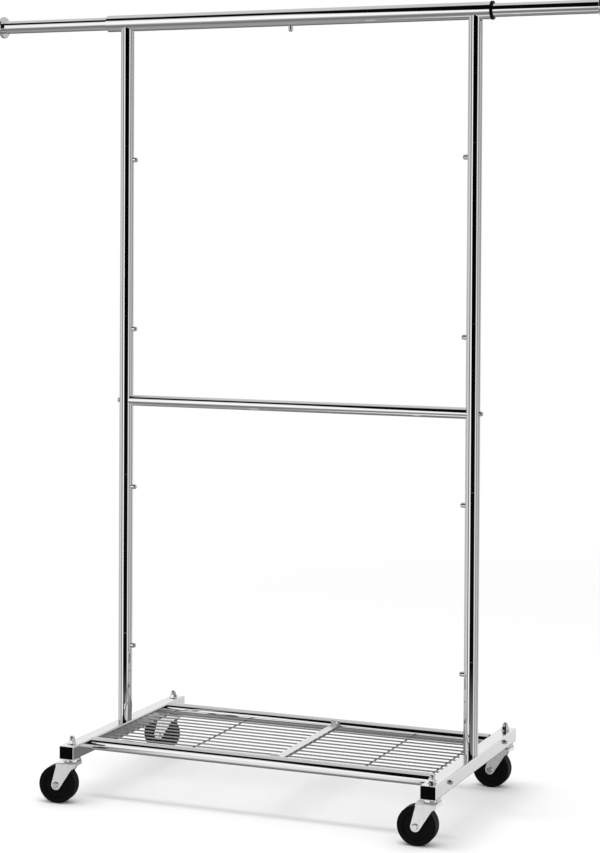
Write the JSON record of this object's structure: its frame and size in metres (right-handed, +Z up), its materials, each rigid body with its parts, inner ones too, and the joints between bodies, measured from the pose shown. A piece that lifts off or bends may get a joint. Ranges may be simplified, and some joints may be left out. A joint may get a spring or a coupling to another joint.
{
  "type": "rolling clothes rack",
  "caption": "chromed tube clothes rack on swivel casters, with pull-out rail ends, a lower crossbar and a wire base shelf",
  "frame": {"origin": "on the floor, midway between the two uprights", "axes": "+X along the rails to the right end as seen from the front, +Y from front to back, +Z up"},
  "size_m": [1.455, 0.5701, 1.769],
  "materials": {
    "chrome_tube": "mirror-bright chrome plate",
    "chrome_wire": "bright chrome plate on welded wire",
    "bright_hardware": "bright plated fasteners and buttons",
    "zinc_steel": "bright zinc plate, slightly satin",
    "plain_steel": "plain steel, hidden",
    "black_plastic": "black moulded plastic",
    "wheel_rubber": "black moulded wheel"
  },
  "bodies": {
    "frame": {"button_clips": "plain_steel", "caster_stems": "zinc_steel", "centre_strap": "chrome_tube", "crossbar_bolts": "bright_hardware", "crossbar_left": "chrome_tube", "crossbar_right": "chrome_tube", "dome_nuts": "bright_hardware", "foot_left": "chrome_tube", "foot_plugs": "black_plastic", "foot_right": "chrome_tube", "nut_washers": "bright_hardware", "rail_bush_left": "black_plastic", "rail_collar_right": "black_plastic", "shelf_bolts": "bright_hardware", "shelf_rail_back_left": "chrome_tube", "shelf_rail_back_right": "chrome_tube", "shelf_rail_front_left": "chrome_tube", "shelf_rail_front_right": "chrome_tube", "strap_screws": "bright_hardware", "top_rail_left": "chrome_tube", "top_rail_right": "chrome_tube", "tube_inserts": "plain_steel", "tube_joiners": "plain_steel", "upright_left_base": "chrome_tube", "upright_left_lower": "chrome_tube", "upright_left_middle": "chrome_tube", "upright_left_top": "chrome_tube", "upright_left_upper": "chrome_tube", "upright_right_base": "chrome_tube", "upright_right_lower": "chrome_tube", "upright_right_middle": "chrome_tube", "upright_right_top": "chrome_tube", "upright_right_upper": "chrome_tube", "wire_panel_left": "chrome_wire", "wire_panel_right": "chrome_wire"},
    "extension_left": {"extension_left": "chrome_tube", "extension_cap_left": "chrome_tube"},
    "extension_right": {"extension_right": "chrome_tube", "extension_cap_right": "chrome_tube"},
    "button_left_1": {"button_left_1": "bright_hardware"},
    "button_left_2": {"button_left_2": "bright_hardware"},
    "button_left_3": {"button_left_3": "bright_hardware"},
    "button_left_4": {"button_left_4": "bright_hardware"},
    "button_rail": {"button_rail": "bright_hardware"},
    "button_right_1": {"button_right_1": "bright_hardware"},
    "button_right_2": {"button_right_2": "bright_hardware"},
    "button_right_3": {"button_right_3": "bright_hardware"},
    "button_right_4": {"button_right_4": "bright_hardware"},
    "fork_front_left": {"fork_front_left": "zinc_steel", "axle_front_left": "zinc_steel"},
    "wheel_front_left": {"wheel_front_left": "wheel_rubber"},
    "fork_front_right": {"fork_front_right": "zinc_steel", "axle_front_right": "zinc_steel"},
    "wheel_front_right": {"wheel_front_right": "wheel_rubber"},
    "fork_back_left": {"fork_back_left": "zinc_steel", "axle_back_left": "zinc_steel"},
    "wheel_back_left": {"wheel_back_left": "wheel_rubber"},
    "fork_back_right": {"fork_back_right": "zinc_steel", "axle_back_right": "zinc_steel"},
    "wheel_back_right": {"wheel_back_right": "wheel_rubber"}
  },
  "joints": [
    {"name": "extension_left_slide", "type": "slide", "parent": "frame", "child": "extension_left", "axis": [1, 0, 0], "range_m": [0, 0.274]},
    {"name": "extension_right_slide", "type": "slide", "parent": "frame", "child": "extension_right", "axis": [-1, 0, 0], "range_m": [0, 0.2355]},
    {"name": "button_left_1_press", "type": "slide", "parent": "frame", "child": "button_left_1", "axis": [-1, 0, 0], "range_m": [0, 0.0125], "stiffness_N_per_m": 800},
    {"name": "button_left_2_press", "type": "slide", "parent": "frame", "child": "button_left_2", "axis": [-1, 0, 0], "range_m": [0, 0.0125], "stiffness_N_per_m": 800},
    {"name": "button_left_3_press", "type": "slide", "parent": "frame", "child": "button_left_3", "axis": [-1, 0, 0], "range_m": [0, 0.0125], "stiffness_N_per_m": 800},
    {"name": "button_left_4_press", "type": "slide", "parent": "frame", "child": "button_left_4", "axis": [-1, 0, 0], "range_m": [0, 0.0125], "stiffness_N_per_m": 800},
    {"name": "button_rail_press", "type": "slide", "parent": "frame", "child": "button_rail", "axis": [0, 0, 1], "range_m": [0, 0.0145], "stiffness_N_per_m": 800},
    {"name": "button_right_1_press", "type": "slide", "parent": "frame", "child": "button_right_1", "axis": [1, 0, 0], "range_m": [0, 0.0125], "stiffness_N_per_m": 800},
    {"name": "button_right_2_press", "type": "slide", "parent": "frame", "child": "button_right_2", "axis": [1, 0, 0], "range_m": [0, 0.0125], "stiffness_N_per_m": 800},
    {"name": "button_right_3_press", "type": "slide", "parent": "frame", "child": "button_right_3", "axis": [1, 0, 0], "range_m": [0, 0.0125], "stiffness_N_per_m": 800},
    {"name": "button_right_4_press", "type": "slide", "parent": "frame", "child": "button_right_4", "axis": [1, 0, 0], "range_m": [0, 0.0125], "stiffness_N_per_m": 800},
    {"name": "swivel_front_left", "type": "hinge", "parent": "frame", "child": "fork_front_left", "pos_m": [-0.42, -0.2565, 0.092], "axis": [0, 0, 1], "continuous": true},
    {"name": "wheel_front_left_spin", "type": "hinge", "parent": "fork_front_left", "child": "wheel_front_left", "pos_m": [-0.44971, -0.26067, 0.042], "axis": [-0.1392, 0.9903, 0], "continuous": true},
    {"name": "swivel_front_right", "type": "hinge", "parent": "frame", "child": "fork_front_right", "pos_m": [0.42, -0.2565, 0.092], "axis": [0, 0, 1], "continuous": true},
    {"name": "wheel_front_right_spin", "type": "hinge", "parent": "fork_front_right", "child": "wheel_front_right", "pos_m": [0.39003, -0.25781, 0.042], "axis": [-0.0436, 0.999, 0], "continuous": true},
    {"name": "swivel_back_left", "type": "hinge", "parent": "frame", "child": "fork_back_left", "pos_m": [-0.42, 0.2565, 0.092], "axis": [0, 0, 1], "continuous": true},
    {"name": "wheel_back_left_spin", "type": "hinge", "parent": "fork_back_left", "child": "wheel_back_left", "pos_m": [-0.45, 0.2565, 0.042], "axis": [0, 1, 0], "continuous": true},
    {"name": "swivel_back_right", "type": "hinge", "parent": "frame", "child": "fork_back_right", "pos_m": [0.42, 0.2565, 0.092], "axis": [0, 0, 1], "continuous": true},
    {"name": "wheel_back_right_spin", "type": "hinge", "parent": "fork_back_right", "child": "wheel_back_right", "pos_m": [0.39, 0.2565, 0.042], "axis": [0, 1, 0], "continuous": true}
  ]
}
